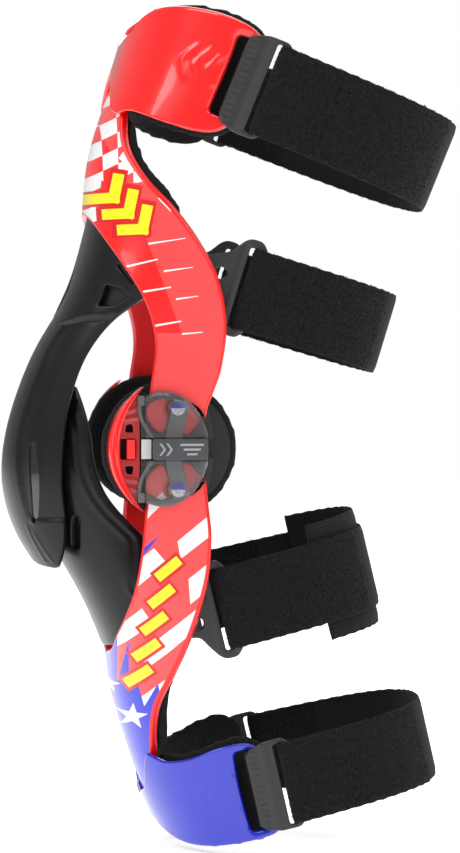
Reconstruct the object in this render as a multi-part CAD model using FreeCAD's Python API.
"""A hinged off-road knee brace for one leg: two moulded frames joined by a twin-pivot hinge on each side.

Row frame, millimetres: the origin is the middle of the knee, halfway between the two hinges.
+Z runs up the leg, -Y is the front of the knee and +X is the outer (lateral) side.
The part stands as it is worn with the knee 25 degrees bent. The thigh frame is the fixed body.
"""
import FreeCAD
import Part
import math
import os
from FreeCAD import Vector

os.makedirs("parts", exist_ok=True)

# ---- driving dimensions -------------------------------------------------------------------------
ARM_IN = 65.0           # inner face of a frame arm, from the middle plane
ARM_T = 4.0             # thickness of both frames
PIVOT_Z = 20.0          # each hinge's pivots lie this far above and below the origin
ARM_END_R = 19.8        # rolling end of each arm
PIN_R = 2.4             # pivot screw
BUSH_R = 4.2            # sleeve on the pivot screw
BUSH_GAP = 0.05         # running clearance of the arm on its sleeve
CUFF_IN = ARM_T + 0.3   # a cuff lies on the frame, offset from the leg surface
CUFF_OUT = CUFF_IN + 2.8
LINER_IN = -6.0
LINER_OUT = -0.4
GUARD_T = 3.2           # wall of the knee guards
STRAP_T = 1.8
STRAP_GAP = 0.3
WIDE = 100.0            # half the length of a prism that trims a shell

# ---- the leg surface ----------------------------------------------------------------------------
# Stations of the surface that the frames lie on: height, half-width, front, back, roundness exponent.
THIGH = [
    (5, 65.0, -60.0, 84.0, 9.0), (30, 65.0, -52.0, 88.0, 8.0), (60, 65.0, -44.0, 92.0, 6.0),
    (90, 65.2, -39.0, 96.0, 3.6), (116, 66.0, -37.4, 102.0, 2.8), (144, 68.5, -34.6, 114.0, 2.5),
    (163, 70.5, -29.3, 124.0, 2.4), (176, 71.8, -24.6, 130.0, 2.35), (190, 73.0, -19.5, 134.0, 2.3),
    (205, 74.0, -15.0, 138.0, 2.3), (228, 75.0, -8.5, 142.0, 2.3),
]
SHIN = [
    (-5, 65.0, -56.0, 84.0, 9.0), (-30, 65.0, -48.0, 88.0, 8.0), (-60, 65.0, -38.0, 92.0, 6.0),
    (-85, 65.0, -29.5, 98.0, 4.0), (-105, 64.5, -26.0, 104.0, 3.0), (-125, 63.8, -23.4, 110.0, 2.6),
    (-142, 63.0, -18.7, 114.0, 2.4), (-160, 62.3, -12.8, 118.0, 2.35), (-178, 61.7, -5.5, 121.0, 2.3),
    (-192, 61.2, 1.5, 123.0, 2.3), (-212, 60.5, 11.0, 125.0, 2.3),
]
# Outer surface of the upper knee guard, and of the lower guard that slides inside it.
UPPER_GUARD = [
    (120, 65.0, -36.5, 101.0, 2.8), (104, 64.0, -40.5, 97.0, 2.8), (88, 62.0, -45.0, 88.0, 2.8),
    (72, 58.5, -51.5, 72.0, 2.7), (52, 54.5, -63.5, 48.0, 2.5), (31, 51.5, -73.2, 34.0, 2.4),
    (8, 50.0, -80.3, 25.0, 2.4), (-15, 49.5, -82.8, 20.0, 2.4), (-38, 48.5, -78.4, 18.0, 2.4),
    (-52, 47.0, -71.6, 17.0, 2.4), (-66, 45.0, -62.0, 16.0, 2.4),
]
LOWER_GUARD = [
    (34, 45.0, -57.0, 32.0, 2.5), (15, 45.5, -64.5, 28.0, 2.5), (-5, 46.0, -68.8, 25.0, 2.5),
    (-25, 46.5, -67.6, 24.0, 2.5), (-42, 47.5, -61.2, 28.0, 2.5), (-57, 49.5, -53.6, 38.0, 2.5),
    (-75, 54.0, -43.4, 60.0, 2.5), (-92, 58.0, -35.6, 78.0, 2.5), (-112, 60.0, -27.6, 92.0, 2.5),
]


def section(station, offset, points=28):
    """One closed, smooth section of a leg surface, moved outwards by offset."""
    z, half, front, back, power = station
    a, b = half + offset, (back - front) / 2 + offset
    middle = (back + front) / 2
    ring = []
    for i in range(points):
        t = 2 * math.pi * i / points
        s, c = math.sin(t), math.cos(t)
        r = (abs(s / a) ** power + abs(c / b) ** power) ** (-1 / power)
        ring.append(Vector(r * s, middle - r * c, z))
    curve = Part.BSplineCurve()
    curve.interpolate(ring, PeriodicFlag=True)
    return Part.Wire([curve.toShape()])


def leg_solid(stations, offset):
    """The solid inside a leg surface that is offset outwards."""
    return Part.makeLoft([section(s, offset) for s in stations], True, False)


def side_prism(runs):
    """A prism through both sides, from a closed side-view outline. Each run is a list of (y, z):
    two points make a line, more make a smooth curve, and runs join end to end."""
    edges = []
    for run in runs:
        points = [Vector(-WIDE, y, z) for y, z in run]
        if len(points) == 2:
            edges.append(Part.LineSegment(*points).toShape())
        else:
            curve = Part.BSplineCurve()
            curve.interpolate(points)
            edges.append(curve.toShape())
    face = Part.Face(Part.Wire(edges))
    return face.extrude(Vector(2 * WIDE, 0, 0))


def joined(*runs):
    """Runs with the straight links between them that close the outline."""
    closed = []
    for run, following in zip(runs, runs[1:] + runs[:1]):
        closed.append(run)
        if math.dist(run[-1], following[0]) > 1e-6:
            closed.append([run[-1], following[0]])
    return closed


def patch(stations, low, high, outline):
    """The wall between two offsets of a leg surface, trimmed to a side-view outline."""
    return leg_solid(stations, high).common(side_prism(outline)).cut(leg_solid(stations, low))


def save(name, shape):
    """Writes one sub-part."""
    shape.exportStep(f"parts/{name}.step")
    print(f"{name:32s} solids {len(shape.Solids)}  valid {shape.isValid()}  {shape.Volume / 1000:8.2f} cm3")


def disc(radius, x0, x1, y, z):
    """A disc about an axis along X."""
    return Part.makeCylinder(radius, x1 - x0, Vector(x0, y, z), Vector(1, 0, 0))


def mirrored(shape):
    """The same piece on the medial side."""
    return shape.mirror(Vector(0, 0, 0), Vector(1, 0, 0))


def box(x0, x1, y0, y1, z0, z1):
    """A box from its limits."""
    return Part.makeBox(x1 - x0, y1 - y0, z1 - z0, Vector(x0, y0, z0))


# ---- side-view outlines -------------------------------------------------------------------------
def thigh_frame_outline():
    """Arm, sweep to the front of the thigh, and the wing that carries the cuff."""
    lower = [(-14.0, 20), (-13.2, 32), (-11.2, 48), (-12.8, 62), (-18.0, 76), (-26.5, 90), (-34.0, 102),
             (-41.5, 115)]
    top = [(-60, 190), (-24, 196), (-4, 206), (20, 203)]
    wing = [(9, 168), (-2, 167), (-14, 171), (-24.5, 172)]
    rear = [(-24.5, 172), (-24.6, 150), (-16.0, 133.5), (-2.4, 119), (9.7, 103.4), (20.1, 84.6),
            (24.6, 62), (22.2, 38), (15.5, 20)]
    return joined(lower, [(-60, 117), (-60, 190)], top, [(20, 203), (9, 168)], wing, rear)


def shin_frame_outline():
    """The same layout below the knee, narrower."""
    upper = [(-15.0, -20), (-16.4, -32), (-18.0, -50), (-21.0, -68), (-25.8, -82), (-29.5, -94),
             (-32, -103)]
    bottom = [(-30, -186), (-2, -184), (10, -189), (32, -185)]
    wing = [(24, -158), (10, -160), (-2, -162), (-9.8, -160)]
    rear = [(-9.8, -160), (-10.6, -142), (-8.8, -127), (-1.8, -112), (6.9, -92), (14.8, -66.5),
            (17.0, -45), (14.0, -20)]
    return joined(upper, [(-60, -104), (-60, -184)], bottom, [(32, -185), (24, -158)], wing, rear)


def thigh_cuff_outline():
    """Cuff that wraps the front half of the thigh, open to an arch at the front of its lower edge."""
    lower = [(-31.3, 162.4), (-28.0, 165.4), (-22.0, 166.4), (-7.0, 160.5), (8.0, 155.9), (18.0, 155.4),
             (27.0, 159.6)]
    rear = [(27.0, 159.6), (42.6, 196.5)]
    top = [(42.6, 196.5), (41.0, 201.5), (33.7, 207.7), (20.0, 213.8), (2.8, 217.6), (-8.0, 217.2),
           (-15.0, 213), (-20.0, 206), (-23.5, 201.5), (-34.0, 200.5), (-50.0, 200.5)]
    return joined([(-50, 190), (-28, 190)], lower, rear, top)


def shin_cuff_outline():
    """Cuff of the shin, the thigh cuff's shape upside down."""
    upper = [(-14.3, -151.4), (-9.0, -154.6), (-3.7, -156), (6.8, -153.7), (20.0, -148.2), (33.7, -145.5),
             (42.2, -149.0)]
    rear = [(42.2, -149.0), (53.0, -184.5)]
    bottom = [(53.0, -184.5), (49.5, -190), (42, -193), (29, -196.3), (15, -198.4), (5, -197.6),
              (-2.5, -193.5), (-7.0, -188), (-12, -186.2), (-40, -186.2)]
    return joined([(-40, -178), (-12.5, -178)], upper, rear, bottom)


def thigh_liner_outline():
    """Foam behind the cuff. It shows past the cuff's edges."""
    lower = [(-26, 165), (-16.9, 161.5), (-7, 157), (6, 152.8), (18, 151.8), (29.5, 156.2)]
    top = [(46.0, 196.5), (43.5, 204.0), (34.5, 211.2), (20.0, 217.4), (2.8, 221.0), (-9.0, 220.4),
           (-16.5, 216), (-22.0, 209), (-26, 204.4), (-50, 203.6)]
    return joined([(-50, 181), (-26, 179)], lower, top)


def shin_liner_outline():
    """Foam behind the shin cuff."""
    upper = [(-8.5, -150.6), (-3, -152.4), (6.8, -150.2), (20, -144.4), (33.7, -141.6), (44.6, -146.0)]
    bottom = [(56.0, -184.5), (52.0, -191.5), (42, -196), (29, -199.4), (15, -201.6), (3, -200.4),
              (-5, -195.5), (-8, -189.5), (-40, -188.5)]
    return joined([(-40, -168), (-8.5, -166)], upper, bottom)


def bridge_liner_outline():
    """Foam behind the front of the thigh frame. It stands proud of the frame's rear edge."""
    rear = [(3.5, 112.5), (0.5, 121.5), (-8.0, 132.6), (-15.6, 141.5), (-19.0, 152), (-19.5, 160.2)]
    front = [(-27, 163.5), (-27, 177)]
    lower = [(-50, 124), (-32, 121.5), (-18, 112), (3.5, 112.5)]
    return joined(lower, rear, front, [(-50, 178), (-50, 124)])


def shin_bridge_liner_outline():
    """Foam behind the front of the shin frame."""
    rear = [(-1.0, -112), (-3.4, -124), (-4.6, -133), (-3.8, -141), (-3.4, -149.6)]
    front = [(-9.6, -149.4), (-9.6, -164)]
    upper = [(-40, -110), (-26, -112), (-14, -108.5), (-1.0, -112)]
    return joined(upper, rear, front, [(-40, -166), (-40, -110)])


def upper_guard_outline():
    """Guard over the kneecap: it hangs inside the front arch of the thigh frame."""
    rear = [(-58.5, -62.5), (-54.6, -50), (-54.4, -36), (-56.0, -18), (-55.2, 2), (-52.5, 22),
            (-45.0, 44), (-32.0, 62), (-14.5, 74.5)]
    top = [(-9, 84), (-20, 96), (-31, 108), (-42, 119)]
    return joined([(-95, -57), (-66, -59.5), (-58.5, -62.5)], rear, [(-14.5, 74.5), (-9, 84)], top,
                  [(-42, 119), (-95, 119)], [(-95, 119), (-95, -57)])


def lower_guard_outline():
    """Guard of the upper shin, with a wing to each arm."""
    rear = [(-50, 31), (-45.0, 19), (-41.5, 6), (-39.8, -6), (-36.0, -19), (-28.8, -30), (-14.5, -44.3)]
    inner = [(-14.5, -44.3), (-13.5, -54), (-14.5, -70), (-20, -86), (-27, -102)]
    return joined(rear, inner, [(-27, -102), (-30, -108.5)], [(-30, -108.5), (-70, -108.5)],
                  [(-70, -108.5), (-90, 31)])


# ---- hinges -------------------------------------------------------------------------------------
SIDES = [("lateral", 1), ("medial", -1)]
PAD_X = (48.0, 59.4)
PAD_PLATE_X = (59.6, 61.4)
RIM_X = (61.6, 77.4)
INNER_PLATE_X = (61.6, 64.5)
OUTER_PLATE_X = (69.5, 71.5)
LINK_BAR_X = (71.6, 73.2)
COVER_X = (71.8, 78.2)
PAD_Y = -3.0            # the foam disc sits a little in front of the pivots
PAD_R = 35.0
PAD_PLATE_R = 30.0
RIM_OUTER = (1.9, 36.2)     # centre and radius of the rim's outer edge
RIM_INNER = (17.4, 45.9)    # and of its inner edge: the two make a crescent
PLATE_FRONT = -18.1     # front edge of the carrier
COVER_Y = -7.0
COVER_RY = 22.9
COVER_RZ = 28.7
COVER_T = 1.4
COVER_FRONT = -16.1     # the cover is open in front of this
STOP_HALF = 4.8         # half-height of the stop and of its latch


def on_side(shape, side):
    """A piece built on the lateral side, for either side."""
    return shape if side > 0 else mirrored(shape)


def oval(ry, rz, x0, x1):
    """An upright oval plate about the cover's middle."""
    plate = Part.makeCylinder(1.0, x1 - x0, Vector(0, 0, 0), Vector(1, 0, 0))
    matrix = FreeCAD.Matrix()
    matrix.scale(Vector(1, ry, rz))
    plate = plate.transformGeometry(matrix)
    plate.translate(Vector(x0, COVER_Y, 0))
    return plate


def polygon_plate(points, x0, x1):
    """A plate with straight edges through (y, z) points."""
    wire = Part.makePolygon([Vector(x0, y, z) for y, z in points + points[:1]])
    return Part.Face(wire).extrude(Vector(x1 - x0, 0, 0))


def pivot_holes(plate, radius, x0, x1):
    """The plate with a hole at each pivot."""
    for z in (-PIVOT_Z, PIVOT_Z):
        plate = plate.cut(disc(radius, x0 - 1, x1 + 1, 0, z))
    return plate


def condyle_pad():
    """Foam disc that bears on the side of the knee, with a rounded face."""
    pad = disc(PAD_R, PAD_X[0], PAD_X[1], PAD_Y, 0)
    inner = [e for e in pad.Edges if abs(e.BoundBox.XMax - PAD_X[0]) < 0.1 and e.BoundBox.XLength < 0.1]
    return pad.makeFillet(4.5, inner)


def pad_plate():
    """Dished plate that carries the foam disc."""
    return pivot_holes(disc(PAD_PLATE_R, *PAD_PLATE_X, PAD_Y, 0), 6.0, *PAD_PLATE_X)


def inner_plate():
    """Back half of the carrier. It shows behind the arms, with a notch in its rear edge."""
    x0, x1 = INNER_PLATE_X
    plate = disc(29.5, x0, x1, PAD_Y, 0).common(disc(64.8, x0, x1, -46.0, 0))
    plate = plate.common(box(x0, x1, PLATE_FRONT, 30, -27.0, 27.0))
    plate = plate.cut(polygon_plate([(15.4, -3.6), (20, -6.0), (20, 6.0), (15.4, 3.6)], x0 - 1, x1 + 1))
    return pivot_holes(plate, PIN_R + 0.02, x0, x1)


def outer_plate():
    """Front half of the carrier, with four windows, so that it reads as a cross over the arms."""
    x0, x1 = OUTER_PLATE_X
    plate = oval(COVER_RY - 0.4, COVER_RZ - 0.4, x0, x1).common(box(x0, x1, PLATE_FRONT, 30, -40, 40))
    for s in (-1, 1):
        front = [(-15.8, 21.5), (-15.2, 13.5), (-12.8, 9.0), (-10.2, 7.3), (-7.9, 7.6), (-5.9, 9.5),
                 (-2.6, 24.0)]
        rear = [(6.2, 23.6), (2.8, 9.0), (3.2, 7.0), (5.7, 6.9), (7.0, 8.0), (13.0, 15.5)]
        for points in (front, rear):
            plate = plate.cut(polygon_plate([(y, s * z) for y, z in points], x0 - 1, x1 + 1))
    plate = plate.cut(box(x0 - 1, x1 + 1, -40, -12.8, -STOP_HALF - 0.5, STOP_HALF + 0.5))
    return pivot_holes(plate, PIN_R + 0.02, x0, x1)


def link_bar():
    """Dog-leg bar that ties the two pivot screws together in front of the carrier."""
    x0, x1 = LINK_BAR_X
    half = 4.2
    middle = [(2.4, 30.0), (1.0, 19.0), (-1.9, 5.0), (-1.9, -5.0), (1.0, -19.0), (2.4, -30.0)]
    outline = [(y - half, z) for y, z in middle] + [(y + half, z) for y, z in reversed(middle)]
    bar = polygon_plate(outline, x0, x1).common(oval(COVER_RY - 2.2, COVER_RZ - 2.2, x0, x1))
    return pivot_holes(bar, PIN_R + 0.02, x0, x1)


def rim():
    """Crescent guard round the front of the hinge, closed by a floor that the extension stop slides in."""
    x0, x1 = RIM_X
    crescent = disc(RIM_OUTER[1], x0, x1, RIM_OUTER[0], 0)
    crescent = crescent.cut(disc(RIM_INNER[1], x0 - 1, x1 + 1, RIM_INNER[0], 0))
    crescent = crescent.cut(box(x0 - 1, x1 + 1, -16.0, 60, -60, 60))
    # The arms sweep past the crescent's ends, so only the front of it is as deep as the arms.
    deep = box(ARM_IN - 0.6, OUTER_PLATE_X[0] - 0.1, -60, 60, -60, 60)
    deep = deep.cut(box(ARM_IN - 1, OUTER_PLATE_X[0], -60, -20.6, -23.5, 23.5))
    crescent = crescent.cut(deep)
    floor = disc(RIM_OUTER[1] - 0.5, OUTER_PLATE_X[0] - 0.05, OUTER_PLATE_X[1], RIM_OUTER[0], 0)
    floor = floor.common(box(60, 80, -40, PLATE_FRONT - 0.4, -27, 27))
    floor = floor.cut(box(60, 80, -28.4, -20.4, -STOP_HALF - 0.3, STOP_HALF + 0.3))
    for s in (-1, 1):
        floor = floor.cut(polygon_plate([(-25.8, s * 8.3), (-21.8, s * 8.3), (-22.3, s * 12.4),
                                         (-25.2, s * 12.0)], 60, 80))
    return crescent.fuse(floor).removeSplitter()


def cover():
    """Clear cover over the pivots, open in front and notched for the badge."""
    x0, x1 = COVER_X

    def dome(inset):
        top = x1 - inset
        solid = oval(COVER_RY - inset, COVER_RZ - inset, x0, top)
        edge = [e for e in solid.Edges if e.BoundBox.XMin > top - 0.1]
        return solid.makeFillet(4.4 - inset, edge)
    shell = dome(0).cut(dome(COVER_T)).cut(box(x0 - 1, x1 + 1, -60, COVER_FRONT, -60, 60))
    return shell.cut(box(x0 - 1, x1 + 1, -60, 14.6, -5.5, 5.5))


def badge():
    """Bar that bridges the link bar and stands in the cover's notch."""
    top = box(73.6, 78.6, -12.5, 14.3, -5.2, 5.2)
    top = top.makeFillet(0.7, [e for e in top.Edges if e.BoundBox.XMin > 78.5])
    for y0, y1 in ((-12.5, -7.0), (4.0, 13.0)):
        top = top.fuse(box(OUTER_PLATE_X[1] + 0.05, 74.0, y0, y1, -5.2, 5.2))
    return top.removeSplitter()


def pivot_screws():
    """The two pivot screws: shank through both plates, dished head outside."""
    screws = []
    under = LINK_BAR_X[1] + 0.05
    for z in (-PIVOT_Z, PIVOT_Z):
        shank = disc(PIN_R, INNER_PLATE_X[0] + 0.3, under + 0.1, 0, z)
        head = disc(3.4, under, under + 2.0, 0, z)
        recess = disc(1.4, under + 1.0, under + 3, 0, z)
        screws.append(shank.fuse(head).cut(recess))
    return Part.makeCompound(screws)


def bushes():
    """Sleeves that the arms turn on."""
    made = []
    for z in (-PIVOT_Z, PIVOT_Z):
        x0, x1 = INNER_PLATE_X[1] + 0.05, OUTER_PLATE_X[0] - 0.05
        made.append(disc(BUSH_R, x0, x1, 0, z).cut(disc(PIN_R + 0.02, x0 - 1, x1 + 1, 0, z)))
    return Part.makeCompound(made)


def ligament():
    """Synthetic ligament: a flexible band clamped above and below, that bows towards the pivots."""
    x0, x1 = OUTER_PLATE_X[1] + 0.1, OUTER_PLATE_X[1] + 2.3
    half = 0.9
    made = []
    for s in (-1, 1):
        path = [(-18.4, s * 24.0), (-18.9, s * 20.0), (-18.0, s * 15.0), (-15.4, s * 9.8), (-12.4, s * 5.8)]
        front = Part.BSplineCurve()
        front.interpolate([Vector(x0, y - half, z) for y, z in path])
        back = Part.BSplineCurve()
        back.interpolate([Vector(x0, y + half, z) for y, z in reversed(path)])
        ends = []
        for (y, z), turn in ((path[-1], 1), (path[0], -1)):
            a, b = Vector(x0, y - turn * half, z), Vector(x0, y + turn * half, z)
            ends.append(Part.LineSegment(a, b).toShape())
        wire = Part.Wire([front.toShape(), ends[0], back.toShape(), ends[1]])
        band = Part.Face(wire).extrude(Vector(x1 - x0, 0, 0))
        clamp_z = sorted((s * 21.4, s * 26.2))
        made.append(band.fuse(box(x0, x1 + 0.8, -19.7, -16.5, *clamp_z)).removeSplitter())
    return Part.makeCompound(made)


def stop_wedge():
    """Extension stop: a block that slides in from the front between the arms' ends."""
    wedge = box(66.0, 73.5, -17.9, -13.1, -STOP_HALF, STOP_HALF)
    for z in (-PIVOT_Z, PIVOT_Z):
        wedge = wedge.cut(disc(ARM_END_R + 0.35, 60, 80, 0, z))
    return wedge


def stop_latch():
    """Sliding button that keeps the stop in, with a foot that runs under the rim's floor."""
    latch = box(69.0, 74.6, -25.2, -21.0, -STOP_HALF + 0.1, STOP_HALF - 0.1)
    latch = latch.makeFillet(0.7, [e for e in latch.Edges if e.BoundBox.XMin > 74.0])
    return latch.fuse(box(67.6, 69.1, -25.2, -20.6, -6.4, 6.4)).removeSplitter()


# ---- strap hardware -----------------------------------------------------------------------------
class StrapFrame:
    """Local frame of a strap at its slot: u runs back along the strap, w across it, x outwards.
    The strap leans outwards by lean millimetres of x per millimetre of w, as the leg widens."""

    def __init__(self, y, z, slant_deg, plate_x, lean):
        self.y, self.z = y, z
        self.slant_deg = slant_deg
        self.plate_x = plate_x      # inner face of the clip's or tab's plate, at the middle of the slot
        self.lean = lean

    def place(self, shape, leaning=False):
        """Moves a shape drawn with X = x, Y = u, Z = w to its place."""
        moved = shape.copy()
        if leaning:
            moved.rotate(Vector(self.plate_x, 0, 0), Vector(0, 1, 0), math.degrees(math.atan(self.lean)))
        moved.rotate(Vector(0, 0, 0), Vector(1, 0, 0), -self.slant_deg)
        moved.translate(Vector(0, self.y, self.z))
        return moved


THIGH_STRAP = StrapFrame(41.9, 176.2, 21.5, 79.0, 0.082)
LOW_THIGH_STRAP = StrapFrame(33.0, 79.0, 17.0, 59.9, 0.0)
UP_CALF_STRAP = StrapFrame(22.2, -80.0, -13.5, 58.0, 0.0)
CALF_STRAP = StrapFrame(53.1, -165.3, -13.0, 69.6, 0.04)
PLATE_T = 2.5
WINDOW_U = (-21.6, -12.0)
WINDOW_W = 20.4
HOOK_U = (-16.2, -13.4)     # web of a clip's hook, through the cuff's window
HOOK_LIP_U = -10.4          # the hook's lip reaches back to here, under the window's rear edge
ROCKER_U = -12.8            # round bead on the web that the clip rocks on
ROCKER_R = 0.7
ROCKER_DROP = 2.8           # the bead's middle lies this far inside the plate's inner face
SLOT_U = (-1.8, 2.4)


def rounded_plate(x0, t, u0, u1, w0, w1, r):
    """Flat plate with rounded corners, in strap coordinates."""
    plate = box(x0, x0 + t, u0, u1, w0, w1)
    corners = [e for e in plate.Edges if e.BoundBox.XLength > t - 0.001]
    corners = [e for e in corners if e.BoundBox.DiagonalLength < t + 0.1]
    return plate.makeFillet(r, corners)


def window(frame):
    """Opening in a cuff that a clip hooks into."""
    return frame.place(rounded_plate(50, 45, *WINDOW_U, -WINDOW_W, WINDOW_W, 2.0))


def clip(frame, width):
    """Quick-release clip: a hook through the cuff's window and a slotted plate for the strap."""
    x0, half = frame.plate_x, width / 2
    plate = rounded_plate(x0, PLATE_T, HOOK_U[0], 6.6, -half - 2.6, half + 2.6, 2.5)
    slot = rounded_plate(x0 - 1, PLATE_T + 2, *SLOT_U, -half - 0.4, half + 0.4, 1.2)
    reach, drop = WINDOW_W - 1.6, 6.8
    web = box(x0 - drop, x0 + 1, *HOOK_U, -reach, reach)
    lip = box(x0 - drop, x0 - drop + 1.5, HOOK_U[0], HOOK_LIP_U, -reach, reach)
    foot = Vector(x0 - ROCKER_DROP, ROCKER_U, -reach)
    rocker = Part.makeCylinder(ROCKER_R, 2 * reach, foot, Vector(0, 0, 1))
    solid = plate.cut(slot).fuse(web).fuse(lip).fuse(rocker)
    return frame.place(solid.removeSplitter(), leaning=True)


def tab(frame, width, up, foot_u, rivet_u):
    """Moulded tab riveted inside an arm, with a slot for the strap. up is the side its foot lies on."""
    half, x0 = width / 2, frame.plate_x
    ring = rounded_plate(x0, PLATE_T, -5.5, 7.2, -half - 4.6, half + 4.6, 5.5)
    foot = [(-3, half + 2), (-13, half - 3.5), (rivet_u + 8, 10.6), (rivet_u - 3, 9.5), (foot_u, 4),
            (rivet_u - 4, -3.5), (rivet_u + 8, -9), (-3, -half - 2)]
    wire = Part.makePolygon([Vector(x0, u, up * w) for u, w in foot + foot[:1]])
    plate = ring.fuse(Part.Face(wire).extrude(Vector(PLATE_T, 0, 0)))
    slot = rounded_plate(x0 - 1, PLATE_T + 2, *SLOT_U, -half - 0.4, half + 0.4, 1.2)
    hole = disc(3.0, x0 - 1, x0 + 5, -12.5, up * 4.0)
    rivet = disc(2.1, x0 - 1, x0 + 5, rivet_u, up * 4.0)
    return frame.place(plate.cut(slot).cut(hole).cut(rivet).removeSplitter())


def tab_rivet(frame, up, rivet_u, spacer):
    """Rivet that holds a tab to its arm, with a spacer between them."""
    x0 = frame.plate_x
    shank = disc(2.0, x0 - 1.6, ARM_IN + 1.6, rivet_u, up * 4.0)
    head = disc(4.2, x0 - 1.6, x0 - 0.1, rivet_u, up * 4.0)
    ring = disc(3.6, x0 + PLATE_T + 0.05, spacer, rivet_u, up * 4.0)
    return frame.place(shank.fuse(head).fuse(ring))


# ---- straps -------------------------------------------------------------------------------------
LOOP_POWER = 2.5        # roundness of a strap loop seen from above
BAND_START = 13.0       # a band starts this far behind its slot's middle


def loop_x(u, half, reach):
    """Half-width of a strap loop at u, for a loop that reaches back to reach."""
    return half * (1 - min(1, max(0, u) / reach) ** LOOP_POWER) ** (1 / LOOP_POWER)


def loop_points(half, reach, start, steps=16):
    """Points of half a loop, from start back to the middle plane."""
    t0 = math.asin((start / reach) ** (LOOP_POWER / 2))
    points = []
    for i in range(steps + 1):
        t = t0 + (math.pi / 2 - t0) * i / steps
        s, c = math.sin(t), max(0, math.cos(t))
        points.append((reach * s ** (2 / LOOP_POWER), half * c ** (2 / LOOP_POWER)))
    return points


def smooth(points, w):
    """A smooth edge through (u, x) points at width w."""
    curve = Part.BSplineCurve()
    curve.interpolate([Vector(x, u, w) for u, x in points])
    return curve.toShape()


def line(a, b, w):
    """A straight edge between two (u, x) points at width w."""
    return Part.LineSegment(Vector(a[1], a[0], w), Vector(b[1], b[0], w)).toShape()


def between(profile, width):
    """The solid between a profile's wires at both edges of a strap."""
    return Part.makeLoft([profile(-width / 2), profile(width / 2)], True, True)


def band(frame, outer_half, reach, start, width):
    """The strap that goes round the back of the leg, from slot to slot."""
    def profile(w):
        half = outer_half + w * frame.lean
        outer, inner = loop_points(half, reach, start), loop_points(half - STRAP_T, reach - STRAP_T, start)
        outer = outer[:-1] + [(u, -x) for u, x in reversed(outer)]
        inner = inner[:-1] + [(u, -x) for u, x in reversed(inner)]
        edges = [smooth(outer, w), smooth(inner, w)]
        edges += [line(outer[-1], inner[-1], w), line(inner[0], outer[0], w)]
        return Part.Wire(Part.__sortEdges__(edges))
    return frame.place(between(profile, width))


def strap_end(frame, outer_half, reach, length, width):
    """Strap end: it comes out through the slot, folds over the bar and lies back on the strap."""
    bend_in, bend_u, tail_u = PLATE_T / 2 + 1.15, 4.2, BAND_START - 0.4
    bend_out = bend_in + STRAP_T

    def profile(w):
        half, mid_x = outer_half + w * frame.lean, frame.plate_x + w * frame.lean + PLATE_T / 2
        lift = mid_x + bend_out - (half + STRAP_GAP + STRAP_T)
        us = [bend_u + (length - bend_u) * i / 10 for i in range(11)]

        def outside(u, below):
            fade = math.exp(-(((u - bend_u) / 20.0) ** 2))
            return loop_x(u, half, reach) + STRAP_GAP + STRAP_T - below + lift * fade
        upper = [(u, outside(u, 0)) for u in us]
        lower = [(u, outside(u, STRAP_T)) for u in us]
        upper[0], lower[0] = (bend_u, mid_x + bend_out), (bend_u, mid_x + bend_in)

        def half_turn(r):
            start, end = Vector(mid_x + r, bend_u, w), Vector(mid_x - r, bend_u, w)
            return Part.Arc(start, Vector(mid_x, bend_u - r, w), end).toShape()
        near, far = mid_x - bend_in, mid_x - bend_out
        corner = [(bend_u, near), (tail_u, near), (tail_u, far), (bend_u, far)]
        edges = [smooth(upper, w), line(upper[-1], lower[-1], w), smooth(lower, w), half_turn(bend_in)]
        edges += [line(a, b, w) for a, b in zip(corner, corner[1:])]
        return Part.Wire(Part.__sortEdges__(edges + [half_turn(bend_out)]))
    return frame.place(between(profile, width))


# ---- fasteners ----------------------------------------------------------------------------------
PIN_SPOTS = {"thigh": (190, (44, 56)), "shin": (-178, (46, 57))}    # station height and two angles
THIGH_RIVET_U = -30.0
CALF_RIVET_U = -23.0
HINGE_ROOM_R = 44.0     # the frames are flat this far round the hinge


def cuff_pins(stations, height, angles, radius, low, high):
    """Blind pins from inside a frame into its cuff, on both sides, square to the surface."""
    made = []
    z, half, front, back, power = next(s for s in stations if s[0] == height)
    a, b, middle = half, (back - front) / 2, (back + front) / 2
    for angle in angles:
        s, c = math.sin(math.radians(angle)), math.cos(math.radians(angle))
        r = (abs(s / a) ** power + abs(c / b) ** power) ** (-1 / power)
        normal = Vector((r * s / a) ** (power - 1) / a, -((r * c / b) ** (power - 1)) / b, 0).normalize()
        pin = Part.makeCylinder(radius, high - low, Vector(r * s, middle - r * c, z) + normal * low, normal)
        made += [pin, mirrored(pin)]
    return made


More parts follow.
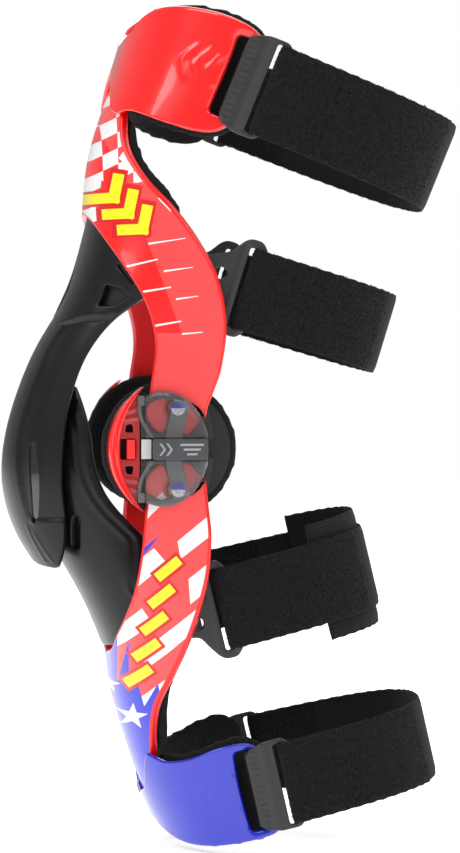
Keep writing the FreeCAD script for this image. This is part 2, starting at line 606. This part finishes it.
# ---- build --------------------------------------------------------------------------------------
def build_frames():
    """Frames, cuffs, guards and their foam."""
    thigh = patch(THIGH, 0, ARM_T, thigh_frame_outline())
    shin = patch(SHIN, 0, ARM_T, shin_frame_outline())
    for side in (1, -1):
        thigh = thigh.fuse(on_side(disc(ARM_END_R, ARM_IN - 0.05, ARM_IN + ARM_T + 0.05, 0, PIVOT_Z), side))
        shin = shin.fuse(on_side(disc(ARM_END_R, ARM_IN - 0.05, ARM_IN + ARM_T + 0.05, 0, -PIVOT_Z), side))
    for side in (1, -1):
        for x0, x1 in ((40.0, ARM_IN - 0.06), (ARM_IN + ARM_T + 0.06, 90.0)):
            room = on_side(disc(HINGE_ROOM_R, x0, x1, 0, 0), side)
            thigh, shin = thigh.cut(room), shin.cut(room)
    thigh = thigh.cut(disc(BUSH_R + BUSH_GAP, -80, 80, 0, PIVOT_Z))
    shin = shin.cut(disc(BUSH_R + BUSH_GAP, -80, 80, 0, -PIVOT_Z))
    thigh = thigh.cut(LOW_THIGH_STRAP.place(disc(2.1, -80, 80, THIGH_RIVET_U, 4.0)))
    shin = shin.cut(UP_CALF_STRAP.place(disc(2.1, -80, 80, CALF_RIVET_U, -4.0)))
    cuffs = {
        "thigh": patch(THIGH, CUFF_IN, CUFF_OUT, thigh_cuff_outline()),
        "shin": patch(SHIN, CUFF_IN, CUFF_OUT, shin_cuff_outline()),
    }
    halves = [("thigh", thigh, THIGH, THIGH_STRAP), ("shin", shin, SHIN, CALF_STRAP)]
    for name, frame, stations, strap in halves:
        for bore in cuff_pins(stations, *PIN_SPOTS[name], 2.1, -1.0, CUFF_OUT - 1.0):
            frame, cuffs[name] = frame.cut(bore), cuffs[name].cut(bore)
        for side in (1, -1):
            cuffs[name] = cuffs[name].cut(on_side(window(strap), side))
        save(f"{name}_frame", frame)
        save(f"{name}_cuff", cuffs[name])
    save("thigh_cuff_liner", patch(THIGH, LINER_IN, LINER_OUT, thigh_liner_outline()))
    save("shin_cuff_liner", patch(SHIN, LINER_IN, LINER_OUT, shin_liner_outline()))
    save("thigh_frame_liner", patch(THIGH, -5.0, LINER_OUT, bridge_liner_outline()))
    save("shin_frame_liner", patch(SHIN, -5.0, LINER_OUT, shin_bridge_liner_outline()))


def frame_room(stations, outline, rise):
    """The frame's own space with a small gap round it, for a guard that is tucked under its edge."""
    gap = 0.4
    room = side_prism(outline)
    room.translate(Vector(0, -gap, rise))
    return leg_solid(stations, ARM_T + gap).common(room).cut(leg_solid(stations, -gap))


def guard_wall(stations, outline):
    """A guard's wall before it is fitted to its frame."""
    return leg_solid(stations, 0).common(side_prism(outline)).cut(leg_solid(stations, -GUARD_T))


def largest(shape):
    """The largest solid of a cut shape."""
    return max(shape.Solids, key=lambda solid: solid.Volume)


def build_guards():
    """Both knee guards."""
    upper = guard_wall(UPPER_GUARD, upper_guard_outline())
    save("upper_knee_guard", largest(upper.cut(frame_room(THIGH, thigh_frame_outline(), -0.6))))
    lower = guard_wall(LOWER_GUARD, lower_guard_outline())
    save("lower_knee_guard", largest(lower.cut(frame_room(SHIN, shin_frame_outline(), 0.6))))


def build_hinges():
    """Both hinges, lateral and medial."""
    pieces = {
        "condyle_pad": condyle_pad(), "pad_plate": pad_plate(),
        "inner_hinge_plate": inner_plate(), "outer_hinge_plate": outer_plate(), "link_bar": link_bar(),
        "hinge_rim": rim(), "hinge_cover": cover(), "hinge_badge": badge(), "pivot_screws": pivot_screws(),
        "pivot_bushes": bushes(), "ligament": ligament(), "stop_wedge": stop_wedge(),
        "stop_latch": stop_latch(),
    }
    for side_name, side in SIDES:
        for name, shape in pieces.items():
            save(f"{side_name}_{name}", on_side(shape, side))


STRAPS = [
    # name, frame, reach, width, length of the folded end
    ("thigh_strap", THIGH_STRAP, 104.0, 45.0, 96.0),
    ("lower_thigh_strap", LOW_THIGH_STRAP, 82.0, 40.0, 74.0),
    ("upper_calf_strap", UP_CALF_STRAP, 84.0, 40.0, 76.0),
    ("calf_strap", CALF_STRAP, 82.0, 40.0, 74.0),
]


def build_straps():
    """Four straps with their folded ends, clips, tabs and rivets."""
    for name, frame, reach, width, length in STRAPS:
        outer = frame.plate_x - 0.35
        save(name, band(frame, outer, reach, BAND_START, width))
        end = strap_end(frame, outer, reach, length, width)
        for side_name, side in SIDES:
            save(f"{side_name}_{name}_end", on_side(end, side))
    pad_gap = STRAP_T + 0.3
    calf_pad = band(UP_CALF_STRAP, UP_CALF_STRAP.plate_x - 0.35 - pad_gap, 84.0 - pad_gap, 52.0, 58.0)
    save("upper_calf_strap_pad", calf_pad)
    hardware = {
        "thigh_clip": clip(THIGH_STRAP, 45.0), "calf_clip": clip(CALF_STRAP, 40.0),
        "lower_thigh_tab": tab(LOW_THIGH_STRAP, 40.0, 1, -37.0, THIGH_RIVET_U),
        "upper_calf_tab": tab(UP_CALF_STRAP, 40.0, -1, -29.0, CALF_RIVET_U),
    }
    for name, shape in hardware.items():
        for side_name, side in SIDES:
            save(f"{side_name}_{name}", on_side(shape, side))
    thigh = cuff_pins(THIGH, *PIN_SPOTS["thigh"], 2.0, 0.1, CUFF_OUT - 1.2)
    thigh += [on_side(tab_rivet(LOW_THIGH_STRAP, 1, THIGH_RIVET_U, 64.4), s) for _, s in SIDES]
    shin = cuff_pins(SHIN, *PIN_SPOTS["shin"], 2.0, 0.1, CUFF_OUT - 1.2)
    shin += [on_side(tab_rivet(UP_CALF_STRAP, -1, CALF_RIVET_U, 61.9), s) for _, s in SIDES]
    save("thigh_fasteners", Part.makeCompound(thigh))
    save("shin_fasteners", Part.makeCompound(shin))


build_frames()
build_guards()
build_hinges()
build_straps()
